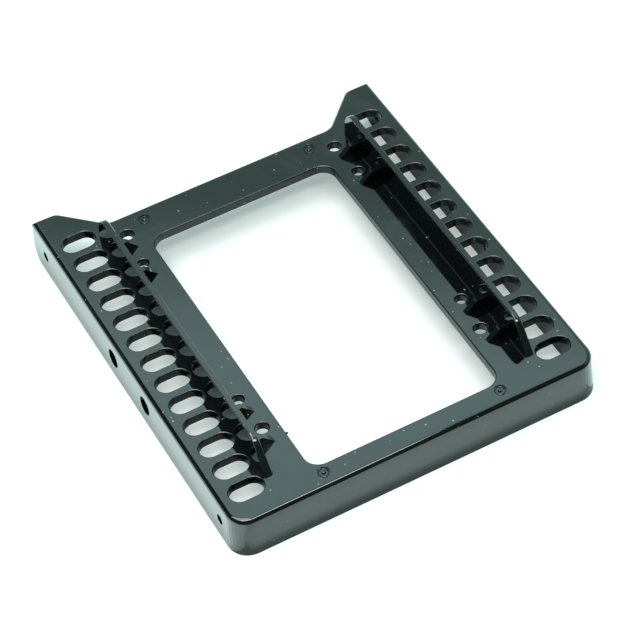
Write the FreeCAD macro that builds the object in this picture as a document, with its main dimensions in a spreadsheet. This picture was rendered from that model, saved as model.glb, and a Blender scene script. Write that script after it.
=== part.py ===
import FreeCAD, Part
import math
import os
import Sketcher

# Drive bay adapter bracket: one injection-moulded tray that carries a 2.5 inch drive in a 3.5 inch bay.
# Millimetres and degrees. The walls stand on Z = 0, X runs across, Y runs from the front wall to the rear.

# Driving dimensions

driving_sizes = [
    ("body_width", 101.6, "across the side walls, at their screw holes"),
    ("body_length", 118.2, "front wall to the ears' rear ends, along the top"),
    ("wall_height", 12.5, "bottom of the walls to the top of the plate"),
    ("wall_thickness", 2.1, "side walls and front wall"),
    ("wall_draft", 2.5, "angle by which the walls open downwards"),
    ("plate_thickness", 2.5, "top plate"),
    ("corner_radius", 5.0, "upright front corners, outside"),
    ("inner_corner_radius", 3.0, "upright front corners, inside"),
    ("top_edge_radius", 1.3, "rounding of the plate's outer top edge"),
    ("heel_radius", 4.5, "lower rear corners of the side walls"),
    ("ear_length", 10.5, "how far the ears pass the plate's rear edge"),
    ("ear_root_width", 17.3, "ears across, at the plate's rear edge"),
    ("ear_slant", 45.0, "angle of the ears' inner edge from the Y direction"),
    ("ear_tip_radius", 3.0, "rounding at the ears' rear inner corner"),
    ("ear_root_radius", 4.5, "rounding between an ear and the plate's rear edge"),
    ("side_hole_height", 6.35, "side holes above the bottom"),
    ("side_hole_front", 8.8, "front screw hole behind the front wall's face"),
    ("side_hole_rear", 7.8, "rear screw hole in front of the ear's rear end"),
    ("side_hole_step", 41.6, "access hole from the screw hole at its end"),
    ("screw_bore", 2.8, "front and rear side holes"),
    ("access_bore", 5.2, "the two side holes between them"),
    ("side_strip", 12.83, "plate's outer edge to the ribs' outer foot"),
    ("vent_count", 13, "slots in each row"),
    ("vent_front", 9.2, "middle of the first slot behind the front wall's face"),
    ("vent_rear", 13.0, "middle of the last slot in front of the ear's rear end"),
    ("vent_bridge", 2.4, "plastic between two slots"),
    ("vent_gap", 0.6, "slot ends from the ribs' outer foot"),
    ("vent_edge", 3.13, "slot ends from the plate's outer edge"),
    ("vent_lip", 0.35, "bevel of the slots' upper edge"),
    ("rib_thickness", 2.4, "ribs at their foot"),
    ("rib_height", 9.0, "ribs above the plate"),
    ("rib_draft", 2.5, "angle by which the ribs narrow upwards"),
    ("rib_front", 9.5, "ribs' front foot behind the front wall's face"),
    ("rib_rear", 4.4, "ribs' rear foot in front of the plate's rear edge"),
    ("rib_front_lean", 32.0, "front end of the ribs, angle from upright"),
    ("rib_front_radius", 5.0, "rounding over the ribs' front end"),
    ("rib_rear_radius", 5.0, "rounding over the ribs' rear end"),
    ("rib_edge", 0.3, "bevel of the ribs' long top edges"),
    ("rib_foot_radius", 0.3, "hollow rounding along the ribs' inner foot"),
    ("inner_strip", 8.8, "ribs' inner foot to the window"),
    ("window_front", 6.6, "window behind the front wall's face"),
    ("window_rear", 11.5, "window in front of the plate's rear edge"),
    ("window_corner_radius", 4.0, "window corners"),
    ("window_lip", 0.4, "bevel of the window's upper edge"),
    ("drive_hole_inset", 4.44, "drive screw holes from the ribs' inner foot"),
    ("drive_hole_front", 24.1, "front drive screw holes behind the front wall's face"),
    ("drive_hole_rear", 7.0, "rear drive screw holes in front of the plate's rear edge"),
    ("drive_bore", 3.4, "drive screw holes"),
    ("inner_hole_inset", 3.5, "inner holes from the ribs' inner foot"),
    ("inner_hole_front", 11.1, "front inner holes behind the front drive screw holes"),
    ("inner_hole_rear", 11.5, "rear inner holes in front of the rear drive screw holes"),
    ("inner_bore", 3.0, "inner holes"),
    ("hole_lip", 0.35, "bevel of the plate holes' upper edge"),
    ("gusset_reach", 5.3, "gusset tip from the rib's inner foot"),
    ("gusset_ledge", 2.2, "flat top of a gusset, from the rib's inner foot"),
    ("gusset_height", 3.2, "gussets above the plate"),
    ("gusset_thickness", 1.5, "gussets along Y"),
    ("gusset_setback", 4.7, "gusset's middle in front of the hole beside it"),
    ("mark_inset", 1.9, "round mould marks inside the line of the window's sides"),
    ("mark_front", 4.0, "front mould marks behind the front wall's face"),
    ("mark_rear", 4.5, "rear mould marks in front of the plate's rear edge"),
    ("mark_diameter", 3.4, "round mould marks"),
    ("mark_depth", 0.2, "round mould marks, sunk"),
    ("gate_diameter", 0.9, "gate stub in each mould mark"),
]

doc = FreeCAD.newDocument("drive_bay_adapter_bracket")
sheet = doc.addObject("Spreadsheet::Sheet", "sizes")
for row, (alias, value, meaning) in enumerate(driving_sizes, start=1):
    sheet.set(f"A{row}", alias)
    sheet.set(f"B{row}", str(value))
    sheet.set(f"C{row}", meaning)
    sheet.setAlias(f"B{row}", alias)
doc.recompute()

body = doc.addObject("PartDesign::Body", "Body")
body.Label = "adapter_bracket"

# Places that several features share, as expressions on the sheet

draft_run = "(sizes.wall_height * tan(sizes.wall_draft * 1 deg))"
front = f"(({draft_run} - sizes.body_length) / 2)"
rear = f"(({draft_run} + sizes.body_length) / 2)"
plate_rear = f"({rear} - sizes.ear_length)"
top_inset = "((sizes.wall_height - sizes.side_hole_height) * tan(sizes.wall_draft * 1 deg))"
top_half = f"(sizes.body_width / 2 - {top_inset})"
rib_outer = f"({top_half} - sizes.side_strip)"
rib_inner = f"({rib_outer} - sizes.rib_thickness)"
rib_front = f"({front} + sizes.rib_front)"
rib_rear = f"({plate_rear} - sizes.rib_rear)"
rib_top = "(sizes.wall_height + sizes.rib_height)"
window_half = f"({rib_inner} - sizes.inner_strip)"
window_front = f"({front} + sizes.window_front)"
window_rear = f"({plate_rear} - sizes.window_rear)"
overrun = 5.0


def value_of(expression):
    """Number that an expression on the sheet gives now, in millimetres."""
    result = sheet.evalExpression(expression)
    return float(getattr(result, "Value", result))


def new_sketch(name, role, offset="0"):
    """Sketch on one of the body's origin planes, moved along the plane's normal."""
    sketch = body.newObject("Sketcher::SketchObject", name)
    plane = next(item for item in body.Origin.OriginFeatures if item.Role == role)
    sketch.AttachmentSupport = (plane, [""])
    sketch.MapMode = "FlatFace"
    sketch.setExpression(".AttachmentOffset.Base.z", f"({offset}) * 1 mm")
    return sketch


def bind(sketch, kind, *terms, size):
    """Dimension of a sketch, driven by an expression."""
    index = sketch.addConstraint(Sketcher.Constraint(kind, *terms, value_of(size)))
    sketch.setExpression(f"Constraints[{index}]", f"({size}) * 1 mm")


def place_point(sketch, geometry, point, x, y):
    bind(sketch, "DistanceX", -1, 1, geometry, point, size=x)
    bind(sketch, "DistanceY", -1, 1, geometry, point, size=y)


def add_outline(sketch, corners):
    """Closed outline of straight lines through corners, each a pair of expressions."""
    points = [FreeCAD.Vector(value_of(x), value_of(y), 0) for x, y in corners]
    ends = points[1:] + points[:1]
    lines = [sketch.addGeometry(Part.LineSegment(a, b), False) for a, b in zip(points, ends)]
    for line, following in zip(lines, lines[1:] + lines[:1]):
        sketch.addConstraint(Sketcher.Constraint("Coincident", line, 2, following, 1))
    for line, (x, y) in zip(lines, corners):
        place_point(sketch, line, 1, x, y)


def add_rectangle(sketch, left, right, low, high):
    add_outline(sketch, [(left, low), (right, low), (right, high), (left, high)])


def add_circle(sketch, x, y, diameter):
    centre = FreeCAD.Vector(value_of(x), value_of(y), 0)
    circle = sketch.addGeometry(Part.Circle(centre, FreeCAD.Vector(0, 0, 1), value_of(diameter) / 2), False)
    place_point(sketch, circle, 3, x, y)
    bind(sketch, "Diameter", circle, size=diameter)


def add_slot(sketch, x, y, length, width):
    """Slot with round ends, its length along X."""
    radius = value_of(width) / 2
    ends = []
    for sign, start in ((-1, math.pi / 2), (1, -math.pi / 2)):
        end_x = f"{x} + {sign} * ({length} - {width}) / 2"
        centre = FreeCAD.Vector(value_of(end_x), value_of(y), 0)
        circle = Part.Circle(centre, FreeCAD.Vector(0, 0, 1), radius)
        arc = sketch.addGeometry(Part.ArcOfCircle(circle, start, start + math.pi), False)
        place_point(sketch, arc, 3, end_x, y)
        ends.append((arc, centre))
    (left, left_centre), (right, right_centre) = ends
    for side, left_point, right_point in ((1, 1, 2), (-1, 2, 1)):
        rise = FreeCAD.Vector(0, side * radius, 0)
        line = sketch.addGeometry(Part.LineSegment(left_centre + rise, right_centre + rise), False)
        sketch.addConstraint(Sketcher.Constraint("Tangent", left, left_point, line, 1))
        sketch.addConstraint(Sketcher.Constraint("Tangent", right, right_point, line, 2))
    bind(sketch, "Radius", left, size=f"{width} / 2")


def add_feature(kind, name, sketch, **settings):
    """Pad or pocket made from a sketch."""
    feature = body.newObject(f"PartDesign::{kind}", name)
    feature.Profile = sketch
    for key, setting in settings.items():
        if key.startswith("bind_"):
            feature.setExpression(key[5:], setting)
        else:
            setattr(feature, key, setting)
    sketch.Visibility = False
    doc.recompute()
    return feature


def repeat_along(name, feature, direction_sketch, axis, length, count):
    """Row of copies of a feature."""
    pattern = body.newObject("PartDesign::LinearPattern", name)
    pattern.Originals = [feature]
    pattern.Direction = (direction_sketch, [axis])
    pattern.setExpression("Length", f"({length}) * 1 mm")
    pattern.setExpression("Occurrences", count)
    body.Tip = pattern
    doc.recompute()
    return pattern


def dress_edges(kind, name, key, size, chosen):
    """Fillet or chamfer of every edge of the body for which chosen is true."""
    base = body.Tip
    edges = [f"Edge{number}" for number, edge in enumerate(base.Shape.Edges, start=1) if chosen(edge)]
    feature = body.newObject(f"PartDesign::{kind}", name)
    feature.Base = (base, edges)
    feature.setExpression(key, f"{size} * 1 mm")
    feature.Refine = False
    body.Tip = feature
    doc.recompute()


def round_edges(name, radius, chosen):
    dress_edges("Fillet", name, "Radius", radius, chosen)


def bevel_edges(name, width, chosen):
    dress_edges("Chamfer", name, "Size", width, chosen)


def draft_faces(name, angle, neutral, chosen, reverse):
    """Lean every chosen face of the body by angle from the level face that neutral picks."""
    base = body.Tip
    numbered = [(f"Face{number}", face) for number, face in enumerate(base.Shape.Faces, start=1)]
    draft = body.newObject("PartDesign::Draft", name)
    draft.Base = (base, [label for label, face in numbered if chosen(face)])
    draft.NeutralPlane = (base, [next(label for label, face in numbered if neutral(face))])
    draft.Reversed = reverse
    draft.setExpression("Angle", f"{angle} * 1 deg")
    body.Tip = draft
    doc.recompute()
    return draft


near = 0.01
plate_top = value_of("sizes.wall_height")
plate_depth = value_of("sizes.plate_thickness")


def at_height(item, height):
    box = item.BoundBox
    return abs(box.ZMin - height) < near and abs(box.ZMax - height) < near


def stands_upright(edge):
    """Edge at least as tall as the plate is thick, leaning no more than the draft."""
    box = edge.BoundBox
    return box.ZLength > plate_depth - near and max(box.XLength, box.YLength) < box.ZLength


def plate_top_face():
    level = [face for face in body.Tip.Shape.Faces if at_height(face, plate_top)]
    return max(level, key=lambda face: face.Area)


def rim_edges(*centres):
    """Edges round those openings in the plate's top whose middles are given as pairs of expressions."""
    places = [(value_of(x), value_of(y)) for x, y in centres]
    edges = []
    for wire in plate_top_face().Wires:
        middle = wire.BoundBox.Center
        if any(abs(middle.x - x) < near and abs(middle.y - y) < near for x, y in places):
            edges.extend(wire.Edges)
    return edges


def is_one_of(edges):
    hashes = {edge.hashCode() for edge in edges}
    return lambda edge: edge.hashCode() in hashes


# Outer block, from the top of the plate down, opening with the draft

block_sketch = new_sketch("block_sketch", "XY_Plane", "sizes.wall_height")
add_rectangle(block_sketch, f"-{top_half}", top_half, front, rear)
add_feature("Pad", "block", block_sketch, Reversed=True, bind_Length="sizes.wall_height * 1 mm")
round_edges("front_corners", "sizes.corner_radius",
            lambda edge: stands_upright(edge) and edge.CenterOfMass.y < 0)

# Gap between the ears, behind the plate

gap_sketch = new_sketch("ear_gap_sketch", "XY_Plane", "sizes.wall_height")
gap_end = f"({rear} + {overrun})"
gap_half = f"({top_half} - sizes.ear_root_width)"
gap_end_half = f"({gap_half} + (sizes.ear_length + {overrun}) * tan(sizes.ear_slant * 1 deg))"
add_outline(gap_sketch, [(f"-{gap_half}", plate_rear), (gap_half, plate_rear),
                         (gap_end_half, gap_end), (f"-{gap_end_half}", gap_end)])
add_feature("Pocket", "ear_gap", gap_sketch, Type="ThroughAll")

plate_rear_y = value_of(plate_rear)
rear_y = value_of(rear)
ear_outer_x = value_of(top_half)
plate_middle_y = value_of(f"{front} + sizes.body_length / 2")
round_edges("ear_roots", "sizes.ear_root_radius",
            lambda edge: stands_upright(edge) and abs(edge.CenterOfMass.y - plate_rear_y) < near)
round_edges("ear_tips", "sizes.ear_tip_radius",
            lambda edge: stands_upright(edge) and edge.CenterOfMass.y > rear_y - near
            and abs(edge.CenterOfMass.x) < ear_outer_x - near)

draft_faces("block_draft", "sizes.wall_draft", lambda face: at_height(face, plate_top),
            lambda face: face.BoundBox.ZLength > near and face.BoundBox.YMin < plate_middle_y, reverse=False)

# Rounded outer edge of the plate, all round

round_edges("outer_top_edge", "sizes.top_edge_radius", is_one_of(plate_top_face().OuterWire.Edges))

# Drive space under the plate, open behind and below

space_sketch = new_sketch("drive_space_sketch", "XY_Plane")
space_half = f"({top_half} + {draft_run} - sizes.wall_thickness)"
space_front = f"({front} - {draft_run} + sizes.wall_thickness)"
add_rectangle(space_sketch, f"-{space_half}", space_half, space_front, gap_end)
add_feature("Pocket", "drive_space", space_sketch, Reversed=True,
            bind_Length="(sizes.wall_height - sizes.plate_thickness) * 1 mm")
space_height = value_of("sizes.wall_height - sizes.plate_thickness")
space_half_x = value_of(space_half)
space_front_y = value_of(space_front)


def is_space_wall(face):
    box = face.BoundBox
    inside = max(abs(box.XMin), abs(box.XMax)) < space_half_x + near and box.YMin > space_front_y - near
    return inside and abs(box.ZMin) < near and abs(box.ZLength - space_height) < near


space_middle_y = value_of(f"{front} + sizes.body_length / 2")
space_side_x = value_of(f"{top_half} - sizes.wall_thickness * 2")
round_edges("inner_front_corners", "sizes.inner_corner_radius",
            lambda edge: abs(edge.BoundBox.ZLength - space_height) < near and edge.BoundBox.ZMin < near
            and edge.CenterOfMass.y < space_middle_y and abs(edge.CenterOfMass.x) > space_side_x
            and edge.BoundBox.YLength < space_height)
draft_faces("drive_space_draft", "sizes.wall_draft",
            lambda face: at_height(face, 0), is_space_wall, reverse=True)

# Lower rear corners of the side walls

heel_y = value_of(rear)
round_edges("wall_heels", "sizes.heel_radius",
            lambda edge: at_height(edge, 0) and abs(edge.BoundBox.YMin - heel_y) < near
            and edge.BoundBox.YLength < near)

# Central window

window_sketch = new_sketch("window_sketch", "XY_Plane", "sizes.wall_height")
add_rectangle(window_sketch, f"-{window_half}", window_half, window_front, window_rear)
add_feature("Pocket", "window", window_sketch, Type="ThroughAll")
window_side_x = value_of(window_half)
round_edges("window_corners", "sizes.window_corner_radius",
            lambda edge: stands_upright(edge) and abs(abs(edge.CenterOfMass.x) - window_side_x) < near)
window_middle = ("0", f"({window_front} + {window_rear}) / 2")
bevel_edges("window_rim", "sizes.window_lip", is_one_of(rim_edges(window_middle)))

# Two ribs on the plate, narrowing upwards, the front end leaning back

rib_lean_end = f"({rib_front} + sizes.rib_height * tan(sizes.rib_front_lean * 1 deg))"
rib_rear_top = f"({rib_rear} - sizes.rib_height * tan(sizes.rib_draft * 1 deg))"
for name, start in (("left_rib", f"-{rib_outer}"), ("right_rib", rib_inner)):
    rib_sketch = new_sketch(f"{name}_sketch", "YZ_Plane", start)
    add_outline(rib_sketch, [(rib_front, "sizes.wall_height"), (rib_rear, "sizes.wall_height"),
                             (rib_rear_top, rib_top), (rib_lean_end, rib_top)])
    add_feature("Pad", name, rib_sketch, bind_Length="sizes.rib_thickness * 1 mm")

rib_top_z = value_of(rib_top)
rib_middle_y = value_of(f"({rib_front} + {rib_rear}) / 2")


def crosses_rib_top(edge):
    return at_height(edge, rib_top_z) and edge.BoundBox.YLength < near


round_edges("rib_front_ends", "sizes.rib_front_radius",
            lambda edge: crosses_rib_top(edge) and edge.CenterOfMass.y < rib_middle_y)
round_edges("rib_rear_ends", "sizes.rib_rear_radius",
            lambda edge: crosses_rib_top(edge) and edge.CenterOfMass.y > rib_middle_y)
draft_faces("rib_draft", "sizes.rib_draft", lambda face: at_height(face, plate_top),
            lambda face: face.BoundBox.ZMax > rib_top_z - near and face.BoundBox.XLength < near,
            reverse=False)
bevel_edges("rib_top_edges", "sizes.rib_edge",
            lambda edge: at_height(edge, rib_top_z) and edge.BoundBox.YLength > near)

rib_inner_x = value_of(rib_inner)
round_edges("rib_feet", "sizes.rib_foot_radius",
            lambda edge: at_height(edge, plate_top) and abs(abs(edge.CenterOfMass.x) - rib_inner_x) < near
            and edge.BoundBox.XLength < near)

# Two sets of holes in the plate, each at the corners of a rectangle

drive_hole_half = f"({rib_inner} - sizes.drive_hole_inset)"
drive_hole_front = f"({front} + sizes.drive_hole_front)"
drive_hole_rear = f"({plate_rear} - sizes.drive_hole_rear)"
inner_hole_half = f"({rib_inner} - sizes.inner_hole_inset)"
inner_hole_front = f"({drive_hole_front} + sizes.inner_hole_front)"
inner_hole_rear = f"({drive_hole_rear} - sizes.inner_hole_rear)"

hole_sketch = new_sketch("plate_hole_sketch", "XY_Plane", "sizes.wall_height")
drive_holes = [(f"{side}{drive_hole_half}", y)
               for side in ("-", "") for y in (drive_hole_front, drive_hole_rear)]
inner_holes = [(f"{side}{inner_hole_half}", y)
               for side in ("-", "") for y in (inner_hole_front, inner_hole_rear)]
for x, y in drive_holes:
    add_circle(hole_sketch, x, y, "sizes.drive_bore")
for x, y in inner_holes:
    add_circle(hole_sketch, x, y, "sizes.inner_bore")
add_feature("Pocket", "plate_holes", hole_sketch, Type="ThroughAll")
bevel_edges("hole_rims", "sizes.hole_lip", is_one_of(rim_edges(*drive_holes, *inner_holes)))

# Gussets on the inner side of the ribs, one in front of each hole

gusset_root = f"({rib_inner} + sizes.rib_thickness / 2)"
gusset_ledge = f"({rib_inner} - sizes.gusset_ledge)"
gusset_tip = f"({rib_inner} - sizes.gusset_reach)"
gusset_top = "sizes.wall_height + sizes.gusset_height"
for name, hole_y in (("front_drive_gussets", drive_hole_front), ("front_inner_gussets", inner_hole_front),
                     ("rear_inner_gussets", inner_hole_rear), ("rear_drive_gussets", drive_hole_rear)):
    gusset_sketch = new_sketch(f"{name}_sketch", "XZ_Plane", f"sizes.gusset_setback - {hole_y}")
    for side in ("-", ""):
        corners = [(gusset_root, "sizes.wall_height"), (gusset_root, gusset_top),
                   (gusset_ledge, gusset_top), (gusset_tip, "sizes.wall_height")]
        add_outline(gusset_sketch, [(f"{side}{x}", z) for x, z in corners])
    add_feature("Pad", name, gusset_sketch, Midplane=True, bind_Length="sizes.gusset_thickness * 1 mm")

# Round mould marks, each with the stub of its gate

mark_sketch = new_sketch("mould_mark_sketch", "XY_Plane", "sizes.wall_height")
gate_sketch = new_sketch("gate_sketch", "XY_Plane", "sizes.wall_height - sizes.mark_depth")
for side in ("-", ""):
    for y in (f"{front} + sizes.mark_front", f"{plate_rear} - sizes.mark_rear"):
        add_circle(mark_sketch, f"{side}({window_half} - sizes.mark_inset)", y, "sizes.mark_diameter")
        add_circle(gate_sketch, f"{side}({window_half} - sizes.mark_inset)", y, "sizes.gate_diameter")
add_feature("Pocket", "mould_marks", mark_sketch, bind_Length="sizes.mark_depth * 1 mm")
add_feature("Pad", "gate_stubs", gate_sketch, bind_Length="sizes.mark_depth * 1 mm")

# Screw and access holes through both side walls

side_sketch = new_sketch("side_hole_sketch", "YZ_Plane")
screw_hole_front = f"({front} + sizes.side_hole_front)"
screw_hole_rear = f"({rear} - sizes.side_hole_rear)"
for y, bore in ((screw_hole_front, "sizes.screw_bore"), (screw_hole_rear, "sizes.screw_bore"),
                (f"{screw_hole_front} + sizes.side_hole_step", "sizes.access_bore"),
                (f"{screw_hole_rear} - sizes.side_hole_step", "sizes.access_bore")):
    add_circle(side_sketch, y, "sizes.side_hole_height", bore)
add_feature("Pocket", "side_holes", side_sketch, Type="ThroughAll", Midplane=True)

# Two rows of slots

vent_sketch = new_sketch("vent_sketch", "XY_Plane", "sizes.wall_height")
vent_front = f"({front} + sizes.vent_front)"
vent_run = f"({rear} - sizes.vent_rear - {vent_front})"
vent_pitch = f"({vent_run} / (sizes.vent_count - 1))"
vent_length = "(sizes.side_strip - sizes.vent_edge - sizes.vent_gap)"
vent_middle = f"({rib_outer} + sizes.vent_gap + {vent_length} / 2)"
vent_width = f"({vent_pitch} - sizes.vent_bridge)"
for side in ("-", ""):
    add_slot(vent_sketch, f"{side}{vent_middle}", vent_front, vent_length, vent_width)
front_vents = add_feature("Pocket", "front_vents", vent_sketch, Type="ThroughAll")
repeat_along("vent_rows", front_vents, vent_sketch, "V_Axis", vent_run, "sizes.vent_count")
vent_middles = [(f"{side}{vent_middle}", f"{vent_front} + {number} * {vent_pitch}")
                for side in ("-", "") for number in range(round(value_of("sizes.vent_count")))]
bevel_edges("vent_rims", "sizes.vent_lip", is_one_of(rim_edges(*vent_middles)))

# Every feature must have come out, and the bracket must be one sound solid

for item in doc.Objects:
    if "Invalid" in item.State or "Error" in item.State:
        raise RuntimeError(f"{item.Name} did not come out: {item.State}")
shape = body.Shape
if shape.isNull() or not shape.isValid() or len(shape.Solids) != 1:
    raise RuntimeError(f"{body.Label} is not one valid solid")

os.makedirs("parts", exist_ok=True)
shape.exportStep(f"parts/{body.Label}.step")
print(f"{body.Label}: {shape.Volume:.0f} cubic mm, {len(shape.Faces)} faces")
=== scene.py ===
import math
import bmesh
import bpy
import numpy as np
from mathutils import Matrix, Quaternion, Vector


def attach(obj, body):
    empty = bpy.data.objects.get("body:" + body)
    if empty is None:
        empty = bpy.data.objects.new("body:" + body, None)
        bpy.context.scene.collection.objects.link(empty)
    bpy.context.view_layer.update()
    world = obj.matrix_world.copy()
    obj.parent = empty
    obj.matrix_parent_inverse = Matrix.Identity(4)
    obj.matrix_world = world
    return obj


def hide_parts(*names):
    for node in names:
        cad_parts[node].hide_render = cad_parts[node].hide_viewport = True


# Drive bay adapter bracket in gloss black plastic, on a white table under soft light.
# Metres, in the bracket's own frame: +Y runs from the front wall to the rear, +Z is up.

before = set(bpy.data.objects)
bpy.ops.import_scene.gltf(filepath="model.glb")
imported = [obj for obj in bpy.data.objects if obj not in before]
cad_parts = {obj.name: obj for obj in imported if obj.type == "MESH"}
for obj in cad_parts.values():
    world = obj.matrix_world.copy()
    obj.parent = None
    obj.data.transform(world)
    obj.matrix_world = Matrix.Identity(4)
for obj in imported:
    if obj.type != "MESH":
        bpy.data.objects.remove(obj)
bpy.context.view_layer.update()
scene = bpy.context.scene
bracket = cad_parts["adapter_bracket"]
print("bracket loaded")


# Small helpers for node trees

def newMaterial(name):
    material = bpy.data.materials.new(name)
    material.use_nodes = True
    material.node_tree.nodes.clear()
    return material, material.node_tree


def addNode(tree, kind, links=None, **inputs):
    # inputs sets values by socket name, links wires (socket, other node's output) pairs
    node = tree.nodes.new(kind)
    for key, value in inputs.items():
        node.inputs[key.replace("_", " ")].default_value = value
    for socket, output in (links or {}).items():
        tree.links.new(output, node.inputs[socket])
    return node


def mathNode(tree, operation, *terms):
    node = tree.nodes.new("ShaderNodeMath")
    node.operation = operation
    for index, term in enumerate(terms):
        if isinstance(term, (int, float)):
            node.inputs[index].default_value = term
        else:
            tree.links.new(term, node.inputs[index])
    return node.outputs[0]


def stepNode(tree, value, low, high, toLow=0.0, toHigh=1.0):
    # smooth step from toLow at low to toHigh at high
    node = addNode(tree, "ShaderNodeMapRange", {"Value": value}, From_Min=low, From_Max=high,
                   To_Min=toLow, To_Max=toHigh)
    node.interpolation_type = "SMOOTHSTEP"
    return node.outputs["Result"]


def fadeNode(tree, share, start, end):
    # straight from start at share 0 to end at share 1
    node = addNode(tree, "ShaderNodeMapRange", {"Value": share}, To_Min=start, To_Max=end)
    return node.outputs["Result"]


def mixColours(tree, share, first, second):
    # from the first colour to the second; either may be another node's output
    node = tree.nodes.new("ShaderNodeMix")
    node.data_type = "RGBA"
    tree.links.new(share, node.inputs[0])
    for socket, colour in ((node.inputs[6], first), (node.inputs[7], second)):
        if isinstance(colour, tuple):
            socket.default_value = (*colour, 1)
        else:
            tree.links.new(colour, socket)
    return node.outputs[2]


def addObject(name, data):
    thing = bpy.data.objects.new(name, data)
    scene.collection.objects.link(thing)
    return thing


# Camera, from where the photograph was taken

cameraPlan = {
    "standsAt": (-0.183609, -0.417776, 0.505688),
    "looksAt": (-0.00208, -0.01123, 0.0125),
    "tiltDegrees": -5.73,
    "lens": 148.34,
    "sensorWidth": 36,
}

camera = addObject("camera", bpy.data.cameras.new("camera"))
aim = Vector(cameraPlan["looksAt"]) - Vector(cameraPlan["standsAt"])
tilt = Quaternion((0, 0, 1), math.radians(cameraPlan["tiltDegrees"]))
camera.location = cameraPlan["standsAt"]
camera.rotation_mode = "QUATERNION"
camera.rotation_quaternion = aim.to_track_quat("-Z", "Y") @ tilt
camera.data.lens = cameraPlan["lens"]
camera.data.sensor_width = cameraPlan["sensorWidth"]
scene.camera = camera
print("camera placed")

# Floor: white paper that keeps the shadows. The camera sees it lifted to a bright white. In gloss
# it has painted light on the bracket's left, painted shade under it, painted dark well in front

floorPlan = {
    "halfSize": 1.5,
    "colour": (0.86, 0.87, 0.86),
    "lift": 0.3,
    "liftColour": (0.86, 1.0, 0.95),
    "inGloss": (1.03, 1.22, 1.15),
    # painted light on the bracket's left, only as the gloss sees the floor
    "glossRightOfPaintedLight": 0.8,              # share of that from the left wall's plane rightwards
    # painted shade under the bracket and just in front of its front foot, only as the gloss sees
    # the floor
    "glossPaintedShadeUnder": 0.48,             # share of that under the bracket
    # painted dark well in front, only as the gloss sees the floor
    "glossPaintedDarkFar": 0.06,               # share of that well in front of the bracket
    "leftEdge": (-0.0535, -0.0515),
    "frontFoot": (-0.0632, -0.0602),
    "farAhead": (-0.0655, -0.079),
    "halfUnder": (0.0513, 0.0509),
    "rearUnder": (0.0605, 0.0585),
}

reach = floorPlan["halfSize"]
floorCorners = [(-reach, -reach, 0), (reach, -reach, 0), (reach, reach, 0), (-reach, reach, 0)]
floorMesh = bpy.data.meshes.new("floor")
floorMesh.from_pydata(floorCorners, [], [(0, 1, 2, 3)])
addObject("floor", floorMesh)
floorMaterial, tree = newMaterial("floorPaper")
rays = tree.nodes.new("ShaderNodeLightPath").outputs
onFloor = tree.nodes.new("ShaderNodeTexCoord").outputs["Object"]
floorX, floorY = addNode(tree, "ShaderNodeSeparateXYZ", {0: onFloor}).outputs[:2]
right = stepNode(tree, floorX, *floorPlan["leftEdge"])
behind = stepNode(tree, floorY, *floorPlan["frontFoot"])
between = stepNode(tree, mathNode(tree, "ABSOLUTE", floorX), *floorPlan["halfUnder"])
before = stepNode(tree, floorY, *floorPlan["rearUnder"])
under = mathNode(tree, "MULTIPLY", between, mathNode(tree, "MULTIPLY", before, behind))
# painted light: the floor's gloss colour brightest on the bracket's left
paintedLightOnLeft = fadeNode(tree, right, 1.0, floorPlan["glossRightOfPaintedLight"])
# painted shade: the floor's gloss colour dimmed under the bracket and at its front foot
paintedShadeUnder = fadeNode(tree, under, 1.0, floorPlan["glossPaintedShadeUnder"])
# painted dark: the floor's gloss colour nearly black well in front
paintedDarkAhead = stepNode(tree, floorY, *floorPlan["farAhead"], 1.0, floorPlan["glossPaintedDarkFar"])
# the floor's gloss colour, with its painted light and shade
paintedGlossShare = mathNode(tree, "MULTIPLY", mathNode(tree, "MULTIPLY", paintedLightOnLeft, paintedShadeUnder), paintedDarkAhead)
paintedGlossColour = mixColours(tree, paintedGlossShare, (0.0, 0.0, 0.0), floorPlan["inGloss"])
inGloss = mathNode(tree, "MAXIMUM", rays["Is Glossy Ray"], rays["Is Transmission Ray"])
paper = addNode(tree, "ShaderNodeBsdfDiffuse", Color=(*floorPlan["colour"], 1))
paintedGlossPaper = addNode(tree, "ShaderNodeBsdfDiffuse", {"Color": paintedGlossColour})
papers = addNode(tree, "ShaderNodeMixShader",
                 {0: inGloss, 1: paper.outputs[0], 2: paintedGlossPaper.outputs[0]})
liftStrength = mathNode(tree, "MULTIPLY", rays["Is Camera Ray"], floorPlan["lift"])
lift = addNode(tree, "ShaderNodeEmission", {"Strength": liftStrength},
               Color=(*floorPlan["liftColour"], 1))
lit = addNode(tree, "ShaderNodeAddShader", {0: papers.outputs[0], 1: lift.outputs[0]})
addNode(tree, "ShaderNodeOutputMaterial", {0: lit.outputs[0]})
floorMesh.materials.append(floorMaterial)
print("floor laid")

# World: white to the camera, a soft tent to everything else, bright behind on the right and
# brighter there above an edge, dim all round

tentPlan = {
    "lowColour": (0.64, 1.0, 0.88),
    "highColour": (0.68, 0.98, 1.0),
    "allRound": 0.1,
    "rearRight": 0.46,
    "aboveEdge": 0.9,
    "edgeHeight": (45.0, 49.2),     # degrees above the table, at edgeFrom
    "edgeFrom": 24,                 # degrees from straight behind, towards the right
    "edgeTilt": 0.1,                # degrees that the edge rises for each degree further round
    "rearSide": (-14, 6),           # degrees from straight behind, towards the right
    "frontSide": (150, 110),
    "white": 1.0,
}


def acrossAngles(value, key):
    low, high = (math.radians(angle) for angle in tentPlan[key])
    return stepNode(tree, value, low, high)


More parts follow.
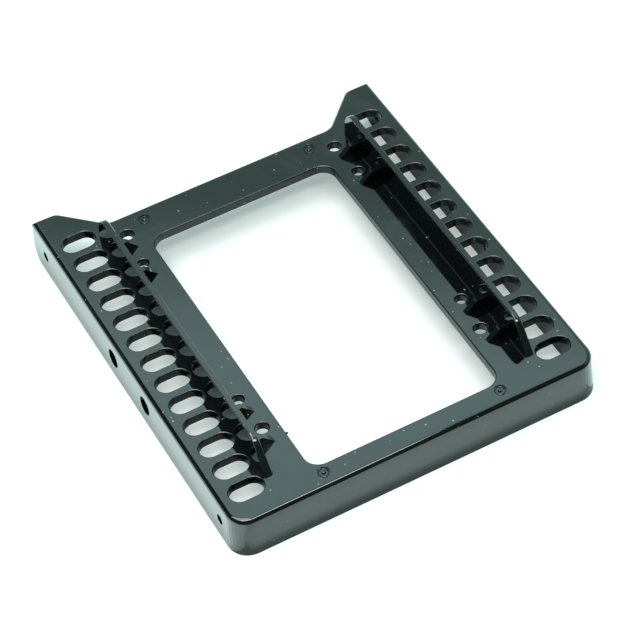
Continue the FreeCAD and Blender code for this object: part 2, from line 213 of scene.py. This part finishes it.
world = bpy.data.worlds.new("world")
scene.world = world
world.use_nodes = True
tree = world.node_tree
tree.nodes.clear()
rays = tree.nodes.new("ShaderNodeLightPath").outputs
gaze = tree.nodes.new("ShaderNodeTexCoord").outputs["Generated"]
gazeX, gazeY, gazeZ = addNode(tree, "ShaderNodeSeparateXYZ", {0: gaze}).outputs
height = mathNode(tree, "ARCSINE", gazeZ)
turn = mathNode(tree, "ARCTAN2", gazeX, gazeY)
side = mathNode(tree, "MULTIPLY", acrossAngles(turn, "rearSide"), acrossAngles(turn, "frontSide"))
furtherRound = mathNode(tree, "SUBTRACT", turn, math.radians(tentPlan["edgeFrom"]))
tilted = mathNode(tree, "MULTIPLY_ADD", furtherRound, -tentPlan["edgeTilt"], height)
above = acrossAngles(tilted, "edgeHeight")
sheet = mathNode(tree, "MULTIPLY_ADD", above, tentPlan["aboveEdge"], tentPlan["rearRight"])
glow = mathNode(tree, "MULTIPLY_ADD", side, sheet, tentPlan["allRound"])
cloth = mixColours(tree, above, tentPlan["lowColour"], tentPlan["highColour"])
tent = addNode(tree, "ShaderNodeBackground", {"Color": cloth, "Strength": glow})
white = addNode(tree, "ShaderNodeBackground", Color=(1, 1, 1, 1), Strength=tentPlan["white"])
pick = addNode(tree, "ShaderNodeMixShader",
               {0: rays["Is Camera Ray"], 1: tent.outputs[0], 2: white.outputs[0]})
addNode(tree, "ShaderNodeOutputWorld", {0: pick.outputs[0]})
print("tent put up")

# Lamps: a soft box overhead, and a long one in front on the left that the rims catch

lampPlan = {
    "overhead": {"at": (-0.3, 0.0, 1.1), "size": (0.8, 0.8), "power": 7.2},
    "frontLeft": {"at": (-0.12, -0.52, 0.98), "size": (0.95, 0.2), "power": 5.2},
}

for name, plan in lampPlan.items():
    lampData = bpy.data.lights.new(name, "AREA")
    lampData.shape = "RECTANGLE"
    lampData.size, lampData.size_y = plan["size"]
    lampData.energy = plan["power"]
    lamp = addObject(name, lampData)
    lamp.location = plan["at"]
    lamp.rotation_euler = (-Vector(plan["at"])).to_track_quat("-Z", "Y").to_euler()
scene.view_settings.view_transform = "Standard"
print("lights hung")

# Gloss black plastic: near black, a clear skin, a faint orange peel on a slow swell, dull
# smudges and dust

plasticPlan = {
    "black": (0.0008, 0.0018, 0.0015),
    "haze": (0.006, 0.0105, 0.0095),
    "dust": (0.30, 0.34, 0.34),
    "roughness": (0.06, 0.16),      # clean, smudged
    "ior": 1.54,
    "coatIor": 1.52,
    "coatRoughness": 0.03,
    "peelScale": 700,               # ripples in a metre
    "peelHeight": 0.0000022,
    "swellScale": 55,
    "swellHeight": 0.00005,
    "smudgeScale": 70,
    "smudgeDetail": 6.0,
    "smudgeGrain": 0.62,
    "smudgeWarp": 0.6,
    "smudgeRange": (0.46, 0.72),    # of the noise, from clean to smudged
    "dustScale": 420,
    "dustSize": (0.045, 0.1),       # of a dust cell
    "dustShare": 0.8,               # cells that hold a speck
}


def bumpFrom(tree, place, key, under=None):
    # a bump from fine noise, over the one that is linked in
    noise = addNode(tree, "ShaderNodeTexNoise", {"Vector": place}, Detail=1.0,
                    Scale=plasticPlan[key + "Scale"])
    links = {"Height": noise.outputs["Fac"]}
    if under is not None:
        links["Normal"] = under
    bump = addNode(tree, "ShaderNodeBump", links, Strength=1.0,
                   Distance=plasticPlan[key + "Height"])
    return bump.outputs[0]


def mixPlastic(name):
    material, tree = newMaterial(name)
    place = tree.nodes.new("ShaderNodeTexCoord").outputs["Object"]
    bump = bumpFrom(tree, place, "peel", bumpFrom(tree, place, "swell"))
    smudge = addNode(tree, "ShaderNodeTexNoise", {"Vector": place},
                     Scale=plasticPlan["smudgeScale"], Detail=plasticPlan["smudgeDetail"],
                     Roughness=plasticPlan["smudgeGrain"], Distortion=plasticPlan["smudgeWarp"])
    dull = stepNode(tree, smudge.outputs["Fac"], *plasticPlan["smudgeRange"])
    cells = addNode(tree, "ShaderNodeTexVoronoi", {"Vector": place},
                    Scale=plasticPlan["dustScale"])
    draw = addNode(tree, "ShaderNodeSeparateColor", {0: cells.outputs["Color"]}).outputs
    holds = mathNode(tree, "LESS_THAN", draw[0], plasticPlan["dustShare"])
    smallest, largest = plasticPlan["dustSize"]
    size = mathNode(tree, "MULTIPLY_ADD", draw[1], largest - smallest, smallest)
    near = mathNode(tree, "LESS_THAN", cells.outputs["Distance"], size)
    speck = mathNode(tree, "MULTIPLY", holds, near)
    hazed = mixColours(tree, dull, plasticPlan["black"], plasticPlan["haze"])
    dusted = mixColours(tree, speck, hazed, plasticPlan["dust"])
    rough = fadeNode(tree, dull, *plasticPlan["roughness"])
    shell = addNode(tree, "ShaderNodeBsdfPrincipled",
                    {"Base Color": dusted, "Roughness": rough, "Normal": bump,
                     "Coat Normal": bump},
                    IOR=plasticPlan["ior"], Coat_Weight=1.0, Coat_IOR=plasticPlan["coatIor"],
                    Coat_Roughness=plasticPlan["coatRoughness"])
    addNode(tree, "ShaderNodeOutputMaterial", {0: shell.outputs[0]})
    return material


plastic = mixPlastic("glossBlackPlastic")
print("plastic mixed")

# Bracket: the CAD surface merged into one skin. Flat faces keep their own normals, and the
# narrow facets of rounds and bevels take theirs from what they join, so they shade as curves

skinPlan = {
    "mergeWithin": 0.000002,
    "flatAngle": 0.4,
    "sharpAngle": 52,
    "narrow": 0.0008,
    "footRound": 0.0011,
    "footSteps": 4,
    "tableWithin": 0.00001,         # how near the table a vertex of the foot lies
    "frontFrom": -0.05,             # the front wall's outer face lies before this
}


def flatPatches(skin):
    # one number for each face, shared by faces that meet without a bend, and which are wide:
    # a patch's width is twice its area over the length of its rim
    bend = math.radians(skinPlan["flatAngle"])
    patchOf, wide = {}, []
    for seed in skin.faces:
        if seed in patchOf:
            continue
        patchOf[seed] = len(wide)
        heap, area, rim = [seed], 0.0, 0.0
        while heap:
            face = heap.pop()
            area += face.calc_area()
            for edge in face.edges:
                flat = len(edge.link_faces) == 2 and edge.calc_face_angle(0.0) < bend
                rim += 0.0 if flat else edge.calc_length()
                for other in edge.link_faces if flat else ():
                    if other not in patchOf:
                        patchOf[other] = patchOf[seed]
                        heap.append(other)
        wide.append(2 * area / rim > skinPlan["narrow"])
    return patchOf, wide


def cornerNormal(corner, patchOf, wide):
    face = corner.face
    if wide[patchOf[face]]:
        return face.normal
    near = math.cos(math.radians(skinPlan["sharpAngle"]))
    around = [other for other in corner.vert.link_faces if other.normal.dot(face.normal) > near]
    broad = {patchOf[other]: other.normal for other in around if wide[patchOf[other]]}
    if broad:
        return sum(broad.values(), Vector()).normalized()
    return sum((other.normal * other.calc_area() for other in around), Vector()).normalized()


def onOuterFoot(edge):
    # on the table, below one upright face that looks away from the bracket's middle
    small = skinPlan["tableWithin"]
    upright = [face.normal for face in edge.link_faces if abs(face.normal.z) < 0.5]
    if len(upright) != 1 or any(abs(vert.co.z) >= small for vert in edge.verts):
        return False
    middle = (edge.verts[0].co + edge.verts[1].co) / 2
    sideways = upright[0].x * middle.x > small
    return sideways or (upright[0].y < -0.5 and middle.y < skinPlan["frontFrom"])


def roundFoot(skin):
    # the outer bottom edge of the walls, whose moulded round shades dark against the table
    bmesh.ops.dissolve_limit(skin, angle_limit=math.radians(skinPlan["flatAngle"]),
                             verts=skin.verts, edges=skin.edges)
    skin.normal_update()
    bmesh.ops.bevel(skin, geom=[edge for edge in skin.edges if onOuterFoot(edge)],
                    offset=skinPlan["footRound"], offset_type="OFFSET",
                    segments=skinPlan["footSteps"], profile=0.5, affect="EDGES",
                    clamp_overlap=True)
    skin.normal_update()


def smoothSkin(node, name):
    mesh = node.data.copy()
    mesh.name = name
    skin = bmesh.new()
    skin.from_mesh(mesh)
    bmesh.ops.remove_doubles(skin, verts=skin.verts, dist=skinPlan["mergeWithin"])
    bmesh.ops.dissolve_degenerate(skin, edges=skin.edges, dist=skinPlan["mergeWithin"])
    roundFoot(skin)
    patchOf, wide = flatPatches(skin)
    normals = [cornerNormal(corner, patchOf, wide).copy()
               for face in skin.faces for corner in face.loops]
    for face in skin.faces:
        face.smooth = True
    skin.to_mesh(mesh)
    skin.free()
    mesh.normals_split_custom_set(normals)
    return addObject(name, mesh)


def seat(piece):
    # plastic on the bracket's own body
    piece.data.materials.clear()
    piece.data.materials.append(plastic)
    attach(piece, "root")


bracketSkin = smoothSkin(bracket, "bracket_skin")
seat(bracketSkin)
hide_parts("adapter_bracket")
print("bracket skin smoothed")

# Mould marks: in each shallow round at the window's corners a raised ring and the torn stub of
# the gate, and a scrap of flash on the window's left edge

markPlan = {
    "acrossHalf": 0.0246,
    "frontY": -0.05483,
    "rearY": 0.04437,
    "floorZ": 0.0123,
    "ringRadius": 0.00128,
    "ringThickness": 0.0002,
    "ringWave": 0.25,               # of the thickness, three times round
    "ringGrid": (48, 12),
    "stubSize": (0.00062, 0.000496, 0.0005),
    "stubLess": 0.12,               # share of its height that each next stub lacks
    "stubTurn": 1.7,                # phase that each next stub's lumps gain
    "lumpWaves": (0.16, 0.12),
    "lumpGrid": (28, 15),
    "flashAt": (-0.02645, -0.03919, 0.0122),
    "flashSize": (0.00045, 0.0003, 0.00028),
    "flashTurn": 0.4,
    "mergeWithin": 0.0000002,
}


def gridPiece(name, x, y, z, lastRound):
    # a surface from three arrays of one shape: it closes on itself along the rows, and along
    # the columns too if lastRound is set; otherwise each end of a column is a pole
    rows, columns = x.shape
    row, column = np.meshgrid(np.arange(rows), np.arange(columns if lastRound else columns - 1),
                              indexing="ij")
    nextRow, nextColumn = (row + 1) % rows, (column + 1) % columns
    corners = [row * columns + column, nextRow * columns + column,
               nextRow * columns + nextColumn, row * columns + nextColumn]
    faces = np.stack(corners, axis=-1).reshape(-1, 4)
    mesh = bpy.data.meshes.new(name)
    mesh.from_pydata(np.stack([x, y, z], axis=-1).reshape(-1, 3).tolist(), [], faces.tolist())
    surface = bmesh.new()
    surface.from_mesh(mesh)
    bmesh.ops.remove_doubles(surface, verts=surface.verts, dist=markPlan["mergeWithin"])
    bmesh.ops.recalc_face_normals(surface, faces=surface.faces)
    for face in surface.faces:
        face.smooth = True
    surface.to_mesh(mesh)
    surface.free()
    seat(addObject(name, mesh))


def ring(name, centre):
    # a torus: the ring's angle by the tube's angle, with slow waves in the tube's thickness
    rows, columns = markPlan["ringGrid"]
    around, across = np.meshgrid(np.linspace(0, 2 * np.pi, rows, endpoint=False),
                                 np.linspace(0, 2 * np.pi, columns, endpoint=False),
                                 indexing="ij")
    tube = markPlan["ringThickness"] * (1 + markPlan["ringWave"] * np.sin(3 * around + 1))
    out = markPlan["ringRadius"] + tube * np.cos(across)
    gridPiece(name, centre[0] + out * np.cos(around), centre[1] + out * np.sin(around),
              centre[2] + tube * np.sin(across), True)


def lump(name, centre, size, phase):
    # an ellipsoid: the angle round it by the angle down from its top pole, its radius varied
    # by two sines of both angles
    rows, columns = markPlan["lumpGrid"]
    around, down = np.meshgrid(np.linspace(0, 2 * np.pi, rows, endpoint=False),
                               np.linspace(0, np.pi, columns), indexing="ij")
    slow, quick = markPlan["lumpWaves"]
    swell = 1 + np.sin(down) * (slow * np.sin(3 * around + phase) * np.cos(2 * down)
                                + quick * np.sin(5 * around - 2 * phase + 4 * down))
    gridPiece(name, centre[0] + size[0] * swell * np.sin(down) * np.cos(around),
              centre[1] + size[1] * swell * np.sin(down) * np.sin(around),
              centre[2] + size[2] * swell * np.cos(down), False)


markCentres = {
    f"{end}_{hand}": (sideways * markPlan["acrossHalf"], along, markPlan["floorZ"])
    for end, along in (("front", markPlan["frontY"]), ("rear", markPlan["rearY"]))
    for hand, sideways in (("left", -1), ("right", 1))
}
for number, (spot, centre) in enumerate(markCentres.items()):
    ring(f"mark_ring_{spot}", centre)
    wide, deep, tall = markPlan["stubSize"]
    lump(f"gate_stub_{spot}", centre, (wide, deep, tall * (1 - markPlan["stubLess"] * number)),
         markPlan["stubTurn"] * number)
lump("flash_scrap", markPlan["flashAt"], markPlan["flashSize"], markPlan["flashTurn"])
print("mould marks raised")
